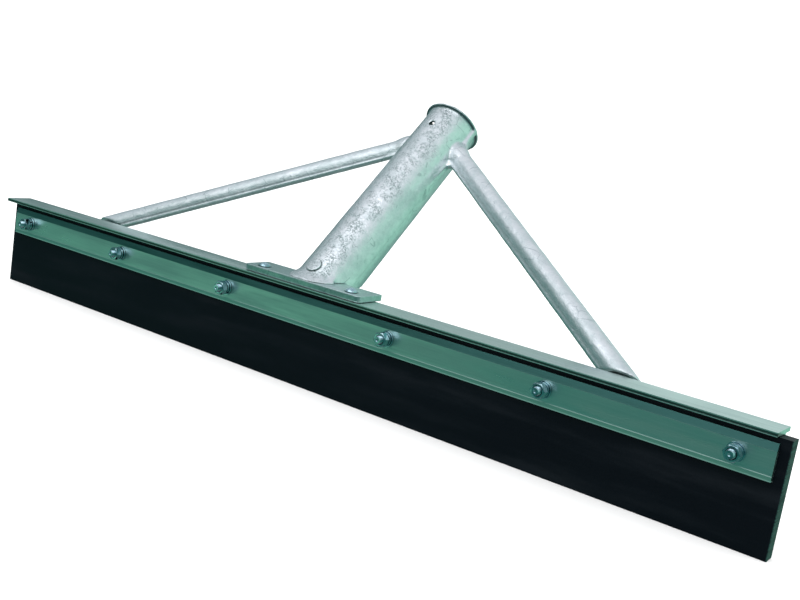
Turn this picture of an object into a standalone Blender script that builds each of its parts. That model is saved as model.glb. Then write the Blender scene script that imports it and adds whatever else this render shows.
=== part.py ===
"""Heavy floor squeegee head: a thick rubber blade bolted under a metal rail, with a braced handle socket.

World frame: +X along the blade, +Y towards the handle's side, +Z up. The origin is the middle of the
blade's working edge. The handle frame is modelled in its own plane, which holds the socket's axis and
both braces: u runs along X, v up the socket's axis, w square to the plane and towards the front.
"""

import math

import bmesh
import bpy
from mathutils import Matrix, Vector

# Fits
FACE_GAP = 0.0003  # between faces that touch on the real tool
HOLE_PLAY = 0.0004  # radial, between a shank and its hole
SEAM_GAP = 0.0003  # between the two frame pressings
EDGE = 0.0004  # small chamfer on cut edges

# Rubber blade
BLADE_LENGTH = 0.600
BLADE_HEIGHT = 0.060
BLADE_THICK = 0.008

# Rail: a T section, its flange over the blade and its web behind it
RAIL_LENGTH = 0.600
RAIL_DEPTH = 0.020
FLANGE_THICK = 0.0023
WEB_THICK = 0.0023
RAIL_FILLET = 0.001

# Clamp strip along the blade's front
STRIP_LENGTH = 0.589
STRIP_HEIGHT = 0.019
STRIP_THICK = 0.003
STRIP_DROP = 0.0028  # its top edge below the flange
STRIP_TOP_BEVEL = (0.0011, 0.0038)  # depth and height of the sloped top band
STRIP_LOW_BEVEL = (0.0008, 0.0026)

# Six M5 clamp bolts, evenly pitched on each side of a wider middle gap
BOLTS_PER_SIDE = 3
BOLT_PITCH = 0.105
BOLT_MIDDLE_GAP = 0.132
BOLT_DIAMETER = 0.005
BOLT_LENGTH = 0.025
HEX_FLATS = 0.008
HEX_FACE_SHARE = 0.97  # the turned end face, as a share of the flats
HEX_CHAMFER = math.radians(30)
HEAD_HEIGHT = 0.0035
NUT_HEIGHT = 0.004
WASHER_DIAMETER = 0.010
WASHER_THICK = 0.001
SPRING_DIAMETER = 0.0088
SPRING_THICK = 0.0012
SPRING_SPLIT = 0.0010

# Everything above the blade sits this far off the blade's middle
FRAME_SHIFT = -0.007

# Foot plate on the flange, with a spigot inside the socket
PLATE_LENGTH = 0.095
PLATE_DEPTH = 0.023
PLATE_THICK = 0.004
PLATE_SETBACK = 0.0015  # its front edge behind the flange's
SPIGOT_THICK = 0.002
SPIGOT_REACH = 0.026  # up the socket's axis
SPIGOT_HALF_ANGLE = math.radians(42)

# Rivets
RIVET_DIAMETER = 0.004
RIVET_HEAD_DIAMETER = 0.008
RIVET_HEAD_HEIGHT = 0.0024
RIVET_SINK_DIAMETER = 0.0064
RIVET_SINK_DEPTH = 0.0011
FOOT_RIVET_SPAN = 0.072
FOOT_RIVET_SETBACK = 0.0068  # behind the plate's front edge
SOCKET_RIVET_DIAMETER = 0.005
SOCKET_RIVET_HEAD = 0.0098
SOCKET_RIVET_PROUD = 0.0009
SOCKET_RIVET_UP = 0.0122  # above the plate, up the socket's front wall

# Socket
SOCKET_LEAN = math.radians(43.4)  # above the horizontal
SOCKET_LENGTH = 0.1517  # up its axis from the plate's top
SOCKET_FOOT_RADIUS = 0.0191
SOCKET_MOUTH_RADIUS = 0.0187
SOCKET_BEHIND_PLATE = 0.0079  # its axis behind the plate, at the plate's top
SHEET = 0.002  # pressed steel, both shells
LIP_WIDTH = 0.0026  # turned-out rim round the mouth and down the sides
LIP_FADE = 0.060  # below this height on the axis the side lip has run out
SKIRT_WIDTH = 0.002  # turned-out foot, round the front only
SKIRT_THICK = 0.0012
SKIRT_HALF_ANGLE = math.radians(50)
SCREW_HOLE_DIAMETER = 0.004
SCREW_HOLE_BELOW_MOUTH = 0.0187

# Braces: half-round crowns with a flat edge on both sides
BRACE_HALF_SPAN = 0.2033  # of their middle lines, at the flange's top
BRACE_JOIN_BELOW_MOUTH = 0.0234
BRACE_JOIN_OUT = 0.0148
BRACE_WIDTH = 0.0152
CROWN_WIDTH = 0.0122
CROWN_HEIGHT = 0.0055
BRACE_END_DROP = 0.0095  # their cut ends below the plate's top, down the frame's slope
CROTCH_RADIUS = 0.005
SHOULDER_RADIUS = 0.008

# Tabs from the brace ends to the rail's web
TAB_THICK = 0.0025
TAB_INSET = 0.020  # up inside the brace
TAB_SIDE_PLAY = 0.0003
TAB_FOOT_GAP = 0.001  # its lower end above the web's

# Roundness, in segments
TUBE_SIDES = 64
CROWN_SIDES = 28
SHANK_SIDES = 24
WASHER_SIDES = 28
DOME_STEPS = 6
ARC_STEPS = 5
EDGE_STEPS = 2

# Surfaces: colour, roughness, metallic
RUBBER = ((0.012, 0.018, 0.020), 0.55, 0.0)
ALUMINIUM = ((0.36, 0.47, 0.44), 0.40, 1.0)
GALVANISED = ((0.66, 0.72, 0.74), 0.45, 1.0)
ZINC = ((0.62, 0.70, 0.74), 0.30, 1.0)
CREASE = math.radians(35)  # edges sharper than this stay sharp

# Places worked out from the sizes
FLANGE_LOW = BLADE_HEIGHT + FACE_GAP
FLANGE_TOP = FLANGE_LOW + FLANGE_THICK
BLADE_FRONT = -BLADE_THICK / 2
BLADE_BACK = BLADE_THICK / 2
STRIP_BACK = BLADE_FRONT - FACE_GAP
STRIP_FRONT = STRIP_BACK - STRIP_THICK
STRIP_TOP = FLANGE_LOW - STRIP_DROP
STRIP_LOW = STRIP_TOP - STRIP_HEIGHT
RAIL_FRONT = STRIP_FRONT
RAIL_BACK = RAIL_FRONT + RAIL_DEPTH
WEB_FRONT = BLADE_BACK + FACE_GAP
WEB_BACK = WEB_FRONT + WEB_THICK
WEB_LOW = STRIP_LOW
BOLT_LEVEL = (STRIP_TOP + STRIP_LOW) / 2
PLATE_LOW = FLANGE_TOP + FACE_GAP
PLATE_TOP = PLATE_LOW + PLATE_THICK
PLATE_FRONT = RAIL_FRONT + PLATE_SETBACK
PLATE_BACK = PLATE_FRONT + PLATE_DEPTH
FOOT_RIVET_Y = PLATE_FRONT + FOOT_RIVET_SETBACK
SOCKET_FOOT = Vector((FRAME_SHIFT, PLATE_BACK + SOCKET_BEHIND_PLATE, PLATE_TOP))
TO_WORLD = Matrix.Translation(SOCKET_FOOT) @ Matrix.Rotation(SOCKET_LEAN, 4, "X")
TO_FRAME = TO_WORLD.inverted()
FAR = 1.0  # past everything, for cutting blocks
# Exact leaves these open
CROWDED = ("bolt", "nut", "rail", "foot_plate", "spigot", "socket_rivet", "sleeve")
CROWDED += ("frame_front", "frame_back")


def clear_scene():
    for found in list(bpy.data.objects):
        bpy.data.objects.remove(found, do_unlink=True)


# ---- meshes -------------------------------------------------------------------------------------


def mesh_object(name, points, faces):
    """An object of these points and faces, with its faces turned outwards."""
    mesh = bpy.data.meshes.new(name)
    mesh.from_pydata([tuple(point) for point in points], [], faces)
    shape = bmesh.new()
    shape.from_mesh(mesh)
    bmesh.ops.recalc_face_normals(shape, faces=shape.faces)
    shape.to_mesh(mesh)
    shape.free()
    made = bpy.data.objects.new(name, mesh)
    bpy.context.scene.collection.objects.link(made)
    return made


def block(name, low, high):
    """A box between two corners."""
    corners = [
        (x, y, z) for x in (low[0], high[0]) for y in (low[1], high[1]) for z in (low[2], high[2])
    ]
    sides = [(0, 1, 3, 2), (4, 6, 7, 5), (0, 4, 5, 1), (2, 3, 7, 6), (0, 2, 6, 4), (1, 5, 7, 3)]
    return mesh_object(name, corners, sides)


def prism(name, outline, start, end, place):
    """An outline of (a, b) points extruded from start to end; place(a, b, along) gives each point."""
    count = len(outline)
    points = [place(a, b, start) for a, b in outline] + [place(a, b, end) for a, b in outline]
    faces = [tuple(range(count)), tuple(range(count, 2 * count))]
    for index in range(count):
        after = (index + 1) % count
        faces.append((index, after, count + after, count + index))
    return mesh_object(name, points, faces)


def along_x(a, b, along):
    return (along, a, b)


def along_z(a, b, along):
    return (a, b, along)


def turned(name, profile, sides, matrix=None, ring=False):
    """A turned solid about Z from (radius, height) points. A ring's profile closes on itself."""
    rows = []
    points = []
    for radius, height in profile:
        if radius == 0:
            rows.append([len(points)])
            points.append((0, 0, height))
            continue
        row = []
        for step in range(sides):
            angle = 2 * math.pi * step / sides
            row.append(len(points))
            points.append((radius * math.cos(angle), radius * math.sin(angle), height))
        rows.append(row)
    pairs = list(zip(rows, rows[1:] + rows[:1] if ring else rows[1:]))
    faces = []
    for low, high in pairs:
        for step in range(sides):
            after = (step + 1) % sides
            if len(low) == 1:
                faces.append((low[0], high[after], high[step]))
            elif len(high) == 1:
                faces.append((low[step], low[after], high[0]))
            else:
                faces.append((low[step], low[after], high[after], high[step]))
    made = mesh_object(name, points, faces)
    if matrix is not None:
        made.data.transform(matrix)
    return made


def rod(name, radius, start, end, sides, matrix=None):
    """A plain round bar about Z, from start to end."""
    return turned(name, [(0, start), (radius, start), (radius, end), (0, end)], sides, matrix)


def combine(target, tool, operation):
    """Applies one Boolean to the target at once and removes the tool."""
    change = target.modifiers.new(operation.lower(), "BOOLEAN")
    change.operation = operation
    change.solver = "MANIFOLD" if target.name in CROWDED else "EXACT"
    change.object = tool
    graph = bpy.context.evaluated_depsgraph_get()
    result = bpy.data.meshes.new_from_object(target.evaluated_get(graph))
    target.modifiers.remove(change)
    target.data = result
    bpy.data.objects.remove(tool, do_unlink=True)
    return target


def add(target, tool):
    return combine(target, tool, "UNION")


def cut(target, tool):
    return combine(target, tool, "DIFFERENCE")


def keep(target, tool):
    return combine(target, tool, "INTERSECT")


def rounded(corners, steps=ARC_STEPS):
    """Corners given as (a, b, radius), with an arc in place of each corner that has a radius."""
    outline = []
    count = len(corners)
    for index, (a, b, radius) in enumerate(corners):
        here = Vector((a, b))
        if radius == 0:
            outline.append((a, b))
            continue
        back = (Vector(corners[index - 1][:2]) - here).normalized()
        ahead = (Vector(corners[(index + 1) % count][:2]) - here).normalized()
        half = back.angle(ahead) / 2
        centre = here + (back + ahead).normalized() * radius / math.sin(half)
        first = here + back * radius / math.tan(half) - centre
        last = here + ahead * radius / math.tan(half) - centre
        sweep = first.angle_signed(last)
        for step in range(steps + 1):
            turn = Matrix.Rotation(-sweep * step / steps, 2)
            outline.append(tuple(centre + turn @ first))
    return outline


def finish(made, surface, smooth=True):
    """Gives a piece its own material and its shading."""
    colour, roughness, metallic = surface
    made.data.materials.clear()
    paint = bpy.data.materials.new(made.name)
    paint.use_nodes = True
    shader = paint.node_tree.nodes["Principled BSDF"]
    shader.inputs["Base Color"].default_value = (*colour, 1)
    shader.inputs["Roughness"].default_value = roughness
    shader.inputs["Metallic"].default_value = metallic
    made.data.materials.append(paint)
    if smooth:
        made.data.shade_smooth()
        made.data.set_sharp_from_angle(angle=CREASE)
    return made


def facing_front(x, y, z):
    """Puts a piece turned about Z at this place, with its +Z towards the front."""
    return Matrix.Translation((x, y, z)) @ Matrix.Rotation(math.pi / 2, 4, "X")


# ---- blade, strip and rail ------------------------------------------------------------------------


def bolt_places():
    """The six bolts' X positions, left to right."""
    right = [BOLT_MIDDLE_GAP / 2 + BOLT_PITCH * step for step in range(BOLTS_PER_SIDE)]
    return sorted([-x for x in right] + right)


def drill_bolt_holes(made):
    for x in bolt_places():
        matrix = facing_front(x, 0, BOLT_LEVEL)
        radius = BOLT_DIAMETER / 2 + HOLE_PLAY
        cut(made, rod("drill", radius, -RAIL_DEPTH, RAIL_DEPTH, SHANK_SIDES, matrix))
    return made


def rubber_blade():
    half = BLADE_LENGTH / 2
    outline = rounded(
        [
            (BLADE_FRONT, 0, EDGE),
            (BLADE_BACK, 0, EDGE),
            (BLADE_BACK, BLADE_HEIGHT, EDGE),
            (BLADE_FRONT, BLADE_HEIGHT, EDGE),
        ],
        steps=EDGE_STEPS,
    )
    made = prism("rubber_blade", outline, -half, half, along_x)
    drill_bolt_holes(made)
    finish(made, RUBBER)


def clamp_strip():
    half = STRIP_LENGTH / 2
    top_depth, top_height = STRIP_TOP_BEVEL
    low_depth, low_height = STRIP_LOW_BEVEL
    outline = [
        (STRIP_BACK, STRIP_LOW),
        (STRIP_BACK, STRIP_TOP),
        (STRIP_FRONT + top_depth, STRIP_TOP),
        (STRIP_FRONT, STRIP_TOP - top_height),
        (STRIP_FRONT, STRIP_LOW + low_height),
        (STRIP_FRONT + low_depth, STRIP_LOW),
    ]
    made = prism("clamp_strip", outline, -half, half, along_x)
    drill_bolt_holes(made)
    finish(made, ALUMINIUM, smooth=False)


def sink_tool(matrix):
    """Cutter for a rivet hole whose countersink opens at the origin, facing -Z."""
    shank = RIVET_DIAMETER / 2 + HOLE_PLAY
    mouth = RIVET_SINK_DIAMETER / 2 + HOLE_PLAY
    profile = [(0, -FACE_GAP), (mouth, -FACE_GAP), (mouth, 0), (shank, RIVET_SINK_DEPTH)]
    profile += [(shank, RAIL_DEPTH), (0, RAIL_DEPTH)]
    return turned("sink", profile, SHANK_SIDES, matrix)


def foot_rivet_places():
    half = FOOT_RIVET_SPAN / 2
    return [("left", FRAME_SHIFT - half), ("right", FRAME_SHIFT + half)]


def tab_places():
    """Each tab's side, its sign and its X where it leaves the brace."""
    reach = brace_line(-BRACE_END_DROP)
    return [("left", -1, FRAME_SHIFT - reach), ("right", 1, FRAME_SHIFT + reach)]


def facing_back(x, y, z):
    """Puts a piece turned about Z at this place, with its +Z towards the back."""
    return Matrix.Translation((x, y, z)) @ Matrix.Rotation(-math.pi / 2, 4, "X")


def tab_rivet_level():
    return (WEB_LOW + TAB_FOOT_GAP + tab_bend_level()) / 2


def rail():
    corners = [
        (RAIL_FRONT, FLANGE_LOW, EDGE),
        (WEB_FRONT, FLANGE_LOW, 0),
        (WEB_FRONT, WEB_LOW, 0),
        (WEB_BACK, WEB_LOW, 0),
        (WEB_BACK, FLANGE_LOW, RAIL_FILLET),
        (RAIL_BACK, FLANGE_LOW, EDGE),
        (RAIL_BACK, FLANGE_TOP, EDGE),
        (RAIL_FRONT, FLANGE_TOP, EDGE),
    ]
    half = RAIL_LENGTH / 2
    outline = rounded(corners, steps=EDGE_STEPS)
    made = prism("rail", outline, FRAME_SHIFT - half, FRAME_SHIFT + half, along_x)
    drill_bolt_holes(made)
    for _, x in foot_rivet_places():
        cut(made, sink_tool(Matrix.Translation((x, FOOT_RIVET_Y, FLANGE_LOW))))
    for _, _, x in tab_places():
        cut(made, sink_tool(facing_back(x, WEB_FRONT, tab_rivet_level())))
    finish(made, ALUMINIUM, smooth=False)


# ---- clamp bolts ----------------------------------------------------------------------------------


def hexagon(name, height, bore=0.0):
    """A hexagon with turned-off corners, standing on Z = 0, with a bore if one is given."""
    corner = HEX_FLATS / math.sqrt(3)
    ring = [(corner * math.cos(math.pi * k / 3), corner * math.sin(math.pi * k / 3)) for k in range(6)]
    made = prism(name, ring, 0, height, along_z)
    face = HEX_FLATS / 2 * HEX_FACE_SHARE
    slope = math.tan(HEX_CHAMFER)
    wide = corner + EDGE
    rise = (wide - face) * slope
    small = face - EDGE / slope
    barrel = [(0, -EDGE), (small, -EDGE), (wide, rise), (wide, height - rise)]
    barrel += [(small, height + EDGE), (0, height + EDGE)]
    keep(made, turned("barrel", barrel, 2 * SHANK_SIDES))
    if bore:
        cut(made, rod("bore", bore, -height, 2 * height, SHANK_SIDES))
    return made


def clamp_stacks():
    """One bolt, its nut and its washers at each place, all fed in from the back."""
    shank = BOLT_DIAMETER / 2
    bore = shank + FACE_GAP
    rear_washer_front = WEB_BACK + FACE_GAP
    head_front = rear_washer_front + WASHER_THICK + FACE_GAP
    flat_back = STRIP_FRONT - FACE_GAP
    spring_back = flat_back - WASHER_THICK - FACE_GAP
    nut_back = spring_back - SPRING_THICK - FACE_GAP

    bolt = hexagon("bolt", HEAD_HEIGHT)
    bolt.data.transform(Matrix.Translation((0, 0, -HEAD_HEIGHT)))
    tip = BOLT_LENGTH - EDGE
    shaft = [(0, -HEAD_HEIGHT / 2), (shank, -HEAD_HEIGHT / 2), (shank, tip)]
    shaft += [(shank - EDGE, BOLT_LENGTH), (0, BOLT_LENGTH)]
    add(bolt, turned("shaft", shaft, SHANK_SIDES))
    nut = hexagon("nut", NUT_HEIGHT, bore)
    flat = turned("flat", ring_profile(bore, WASHER_DIAMETER / 2, WASHER_THICK), WASHER_SIDES, ring=True)
    spring = turned(
        "spring", ring_profile(bore, SPRING_DIAMETER / 2, SPRING_THICK), WASHER_SIDES, ring=True
    )
    half = SPRING_SPLIT / 2
    cut(spring, block("split", (0, -half, -SPRING_THICK), (SPRING_DIAMETER, half, 2 * SPRING_THICK)))

    kinds = [
        ("clamp_bolt", bolt, head_front),
        ("clamp_nut", nut, nut_back),
        ("flat_washer", flat, flat_back),
        ("spring_washer", spring, spring_back),
        ("rear_washer", flat, rear_washer_front + WASHER_THICK),
    ]
    for number, x in enumerate(bolt_places(), start=1):
        for kind, pattern, y in kinds:
            made = bpy.data.objects.new(f"{kind}_{number}", pattern.data.copy())
            bpy.context.scene.collection.objects.link(made)
            made.location = (x, y, BOLT_LEVEL)
            made.rotation_euler = (math.pi / 2, 0, 0)
            finish(made, ZINC)
    for pattern in (bolt, nut, flat, spring):
        bpy.data.objects.remove(pattern, do_unlink=True)


def ring_profile(inner, outer, height):
    return [(inner, 0), (outer, 0), (outer, height), (inner, height)]


# ---- handle frame ---------------------------------------------------------------------------------


def tube(name, offset, start, end):
    """The socket's cone, grown by offset, from start to end on its axis, in the frame's plane."""
    slope = (SOCKET_MOUTH_RADIUS - SOCKET_FOOT_RADIUS) / SOCKET_LENGTH
    low = SOCKET_FOOT_RADIUS + slope * start + offset
    high = SOCKET_FOOT_RADIUS + slope * end + offset
    turn = Matrix.Rotation(-math.pi / 2, 4, "X")
    return turned(name, [(0, start), (low, start), (high, end), (0, end)], TUBE_SIDES, turn)


def brace_ends():
    """The brace's middle line in the frame's plane: at the flange's top, and where it joins."""
    drop = (FLANGE_TOP - PLATE_TOP) / math.sin(SOCKET_LEAN)
    foot = Vector((BRACE_HALF_SPAN, drop))
    join = Vector((BRACE_JOIN_OUT, SOCKET_LENGTH - BRACE_JOIN_BELOW_MOUTH))
    return foot, join


def brace_edge(offset):
    """A point and the direction of a line beside the brace's middle line, offset away from the foot plate."""
    foot, join = brace_ends()
    run = (join - foot).normalized()
    return foot + Vector((run.y, -run.x)) * offset, run


def brace_line(v, offset=0.0):
    """The u at this v on the brace's middle line, or on a line offset outwards from it."""
    start, run = brace_edge(offset)
    return start.x + run.x * (v - start.y) / run.y


def brace_line_v(u, offset):
    """The v at this u on a line offset outwards from the brace's middle line."""
    start, run = brace_edge(offset)
    return start.y + run.y * (u - start.x) / run.x


def brace_bar(name, sign, half_width, height):
    """An oval bar along a brace's middle line, from past its cut end to inside the socket."""
    foot, join = brace_ends()
    run = (join - foot).normalized()
    side = Vector((-run.y, run.x))
    start = foot - run * (BRACE_END_DROP + CROWN_WIDTH)
    end = join + run * (BRACE_JOIN_OUT / 2)
    outline = []
    for step in range(CROWN_SIDES):
        angle = 2 * math.pi * step / CROWN_SIDES
        outline.append((half_width * math.cos(angle), height * math.sin(angle)))

    def place(a, b, along):
        at = start + run * along + side * a
        return (sign * at.x, at.y, b)

    return prism(name, outline, 0, (end - start).length, place)


def edge_outline():
    """The flat edge all round the frame's right half, from the mouth to the socket's foot."""
    lip = SOCKET_MOUTH_RADIUS + LIP_WIDTH
    half = BRACE_WIDTH / 2
    past_end = -BRACE_END_DROP - CROWN_WIDTH
    shoulder = brace_line_v(lip, half)
    crotch = brace_line_v(SOCKET_MOUTH_RADIUS + LIP_WIDTH / 2, -half)
    buried = SOCKET_MOUTH_RADIUS - SHEET / 2
    return [
        (lip, SOCKET_LENGTH, 0),
        (lip, shoulder, SHOULDER_RADIUS),
        (brace_line(past_end, half), past_end, 0),
        (brace_line(past_end, -half), past_end, 0),
        (SOCKET_MOUTH_RADIUS + LIP_WIDTH / 2, crotch, CROTCH_RADIUS),
        (buried, LIP_FADE, 0),
        (buried, past_end, 0),
    ]


def edge_plate(name):
    """The flat edge as a plate one sheet thick on each side of the frame's plane."""
    right = rounded(edge_outline())
    left = [(-u, v) for u, v in reversed(right)]
    return prism(name, right + left, -SHEET, SHEET, along_z)


def world_block(name, low, high):
    """A box in world axes, put into the frame's plane."""
    made = block(name, low, high)
    made.data.transform(TO_FRAME)
    return made


def frame_shell(name, front):
    """One pressing of the frame: half of the socket and half of both braces, open inside."""
    past = SOCKET_LENGTH + LIP_WIDTH
    under = -2 * SOCKET_FOOT_RADIUS
    made = tube(name, 0, under, SOCKET_LENGTH)
    add(made, tube("lip", LIP_WIDTH, SOCKET_LENGTH - SHEET, SOCKET_LENGTH))
    if front:
        skirt = tube("skirt", SKIRT_WIDTH, under, SOCKET_FOOT_RADIUS)
        low = PLATE_TOP + FACE_GAP
        cut(skirt, world_block("above", (-FAR, -FAR, low + SKIRT_THICK), (FAR, FAR, FAR)))
        cut(skirt, world_block("ahead", (-FAR, -FAR, -FAR), (FAR, PLATE_FRONT + FACE_GAP, FAR)))
        level = SOCKET_FOOT_RADIUS * math.cos(SKIRT_HALF_ANGLE)
        cut(skirt, block("beside", (-FAR, -FAR, -FAR), (FAR, FAR, level)))
        add(made, skirt)
    add(made, edge_plate("edge"))
    for sign in (1, -1):
        add(made, brace_bar("crown", sign, CROWN_WIDTH / 2, CROWN_HEIGHT))
    cut(made, tube("bore", -SHEET, 2 * under, past))
    for sign in (1, -1):
        cut(made, brace_bar("hollow", sign, CROWN_WIDTH / 2 - SHEET, CROWN_HEIGHT - SHEET))
    half_gap = SEAM_GAP / 2
    if front:
        cut(made, block("behind", (-FAR, -FAR, -FAR), (FAR, FAR, half_gap)))
    else:
        cut(made, block("before", (-FAR, -FAR, -half_gap), (FAR, FAR, FAR)))
    inboard = 3 * SOCKET_FOOT_RADIUS
    for sign in (1, -1):
        near, far = sorted((sign * inboard, sign * FAR))
        cut(made, block("end", (near, -FAR, -FAR), (far, -BRACE_END_DROP, FAR)))
    low = (FRAME_SHIFT - inboard, -FAR, -FAR)
    cut(made, world_block("plate", low, (FRAME_SHIFT + inboard, PLATE_BACK + FACE_GAP, PLATE_TOP + FACE_GAP)))
    cut(made, world_block("floor", low, (FRAME_SHIFT + inboard, FAR, PLATE_LOW)))
    if front:
        drill_front_wall(made, SCREW_HOLE_DIAMETER / 2, SOCKET_LENGTH - SCREW_HOLE_BELOW_MOUTH)
        drill_front_wall(made, SOCKET_RIVET_DIAMETER / 2 + HOLE_PLAY, socket_rivet_v())
    made.matrix_world = TO_WORLD
    finish(made, GALVANISED)


def drill_front_wall(made, radius, v):
    matrix = Matrix.Translation((0, v, 0))
    cut(made, rod("drill", radius, SHEET, 2 * SOCKET_FOOT_RADIUS, SHANK_SIDES, matrix))


def socket_rivet_v():
    """Where the socket's rivet crosses the front wall, on the axis."""
    wall_foot = -SOCKET_FOOT_RADIUS / math.tan(SOCKET_LEAN)
    return wall_foot + SOCKET_RIVET_UP


def foot_plate():
    """The plate on the flange, with the curved spigot that the socket's front wall slips over."""
    half = PLATE_LENGTH / 2
    outline = rounded(
        [
            (PLATE_FRONT, PLATE_LOW, EDGE),
            (PLATE_BACK, PLATE_LOW, EDGE),
            (PLATE_BACK, PLATE_TOP, EDGE),
            (PLATE_FRONT, PLATE_TOP, EDGE),
        ],
        steps=EDGE_STEPS,
    )
    made = prism("foot_plate", outline, FRAME_SHIFT - half, FRAME_SHIFT + half, along_x)
    made.data.transform(TO_FRAME)
    under = -2 * SOCKET_FOOT_RADIUS
    outer = -SHEET - FACE_GAP
    spigot = tube("spigot", outer, under, SPIGOT_REACH)
    cut(spigot, tube("core", outer - SPIGOT_THICK, 2 * under, 2 * SPIGOT_REACH))
    level = (SOCKET_FOOT_RADIUS + outer) * math.cos(SPIGOT_HALF_ANGLE)
    cut(spigot, block("back", (-FAR, -FAR, -FAR), (FAR, FAR, level)))
    cut(spigot, world_block("below", (-FAR, -FAR, -FAR), (FAR, FAR, PLATE_LOW + PLATE_THICK / 2)))
    add(made, spigot)
    drill_front_wall(made, SOCKET_RIVET_DIAMETER / 2 + HOLE_PLAY, socket_rivet_v())
    made.data.transform(TO_WORLD)
    for _, x in foot_rivet_places():
        matrix = Matrix.Translation((x, FOOT_RIVET_Y, 0))
        radius = RIVET_DIAMETER / 2 + HOLE_PLAY
        cut(made, rod("drill", radius, 0, 2 * PLATE_TOP, SHANK_SIDES, matrix))
    finish(made, GALVANISED)


# ---- rivets and tabs ------------------------------------------------------------------------------


def dome_rivet(name, grip, matrix):
    """A rivet with a domed head: its flush sunk end at Z = 0 and the head past the grip."""
    shank = RIVET_DIAMETER / 2
    sunk = RIVET_SINK_DIAMETER / 2
    head = RIVET_HEAD_DIAMETER / 2
    seat = grip + FACE_GAP
    ball = (head**2 + RIVET_HEAD_HEIGHT**2) / (2 * RIVET_HEAD_HEIGHT)
    full = math.asin(head / ball)
    profile = [(0, 0), (sunk, 0), (shank, RIVET_SINK_DEPTH), (shank, seat)]
    for step in range(DOME_STEPS):
        angle = full * (1 - step / DOME_STEPS)
        profile.append((ball * math.sin(angle), seat + RIVET_HEAD_HEIGHT - ball * (1 - math.cos(angle))))
    profile.append((0, seat + RIVET_HEAD_HEIGHT))
    made = turned(name, profile, SHANK_SIDES, matrix)
    finish(made, ZINC)


def foot_rivets():
    for side, x in foot_rivet_places():
        place = Matrix.Translation((x, FOOT_RIVET_Y, FLANGE_LOW))
        dome_rivet(f"foot_rivet_{side}", PLATE_TOP - FLANGE_LOW, place)


def socket_rivet():
    """The flat rivet through the socket's front wall and the spigot, both ends following the curve."""
    v = socket_rivet_v()
    inner = -SHEET - FACE_GAP - SPIGOT_THICK - FACE_GAP
    reach = SOCKET_FOOT_RADIUS * 2
    made = rod("socket_rivet", SOCKET_RIVET_HEAD / 2, SOCKET_FOOT_RADIUS / 2, reach, SHANK_SIDES)
    made.data.transform(Matrix.Translation((0, v, 0)))
    span = (-2 * reach, 2 * reach)
    cut(made, tube("hollow", inner - SOCKET_RIVET_PROUD, *span))
    keep(made, tube("skin", FACE_GAP + SOCKET_RIVET_PROUD, *span))
    sleeve = tube("sleeve", FACE_GAP, *span)
    cut(sleeve, tube("core", inner, 2 * span[0], 2 * span[1]))
    matrix = Matrix.Translation((0, v, 0))
    cut(sleeve, rod("shank", SOCKET_RIVET_DIAMETER / 2, 0, 2 * reach, SHANK_SIDES, matrix))
    cut(made, sleeve)
    made.matrix_world = TO_WORLD
    finish(made, GALVANISED)


def slope_z(y, w):
    """The height at this Y on a line w in front of the frame's plane."""
    return (
        SOCKET_FOOT.z
        + (y - SOCKET_FOOT.y) * math.tan(SOCKET_LEAN)
        + w / math.cos(SOCKET_LEAN)
    )


def tab_bend_level():
    """The height where a tab's back face turns down along the web."""
    return slope_z(WEB_BACK + FACE_GAP + TAB_THICK, -TAB_THICK / 2)


def brace_tabs():
    """Flat tabs from inside each brace down the frame's slope, then bent down against the web."""
    foot, join = brace_ends()
    run = (join - foot).normalized()
    rise = TAB_THICK / 2 / (CROWN_HEIGHT - SHEET)
    room = (CROWN_WIDTH / 2 - SHEET) * math.sqrt(1 - rise**2) - TAB_SIDE_PLAY
    half = room / abs(run.y)
    front = WEB_BACK + FACE_GAP
    back = front + TAB_THICK
    low = WEB_LOW + TAB_FOOT_GAP
    for side, sign, x in tab_places():
        inner = FRAME_SHIFT + sign * brace_line(TAB_INSET)
        stations = [(x, front, low, back, low)]
        bend_front = slope_z(front, TAB_THICK / 2)
        stations.append((x, front, bend_front, back, tab_bend_level()))
        for middle, v in ((x, -BRACE_END_DROP), (inner, TAB_INSET)):
            upper = TO_WORLD @ Vector((0, v, TAB_THICK / 2))
            lower = TO_WORLD @ Vector((0, v, -TAB_THICK / 2))
            stations.append((middle, upper.y, upper.z, lower.y, lower.z))
        points = []
        for middle, y_front, z_front, y_back, z_back in stations:
            points += [(middle - half, y_front, z_front), (middle + half, y_front, z_front)]
            points += [(middle + half, y_back, z_back), (middle - half, y_back, z_back)]
        faces = [(0, 1, 2, 3)]
        for step in range(len(stations) - 1):
            base = 4 * step
            for corner in range(4):
                after = (corner + 1) % 4
                faces.append((base + corner, base + after, base + 4 + after, base + 4 + corner))
        last = 4 * (len(stations) - 1)
        faces.append((last, last + 1, last + 2, last + 3))
        made = mesh_object(f"brace_tab_{side}", points, faces)
        radius = RIVET_DIAMETER / 2 + HOLE_PLAY
        matrix = facing_back(x, 0, tab_rivet_level())
        cut(made, rod("drill", radius, 0, 2 * RAIL_DEPTH, SHANK_SIDES, matrix))
        finish(made, GALVANISED, smooth=False)
        place = facing_back(x, WEB_FRONT, tab_rivet_level())
        dome_rivet(f"tab_rivet_{side}", back - WEB_FRONT, place)


clear_scene()
rubber_blade()
clamp_strip()
rail()
clamp_stacks()
foot_plate()
foot_rivets()
frame_shell("frame_front", front=True)
frame_shell("frame_back", front=False)
socket_rivet()
brace_tabs()
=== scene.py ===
"""Looks of the floor squeegee head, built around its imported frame."""

import math

import bpy
from mathutils import Matrix, Vector


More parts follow.
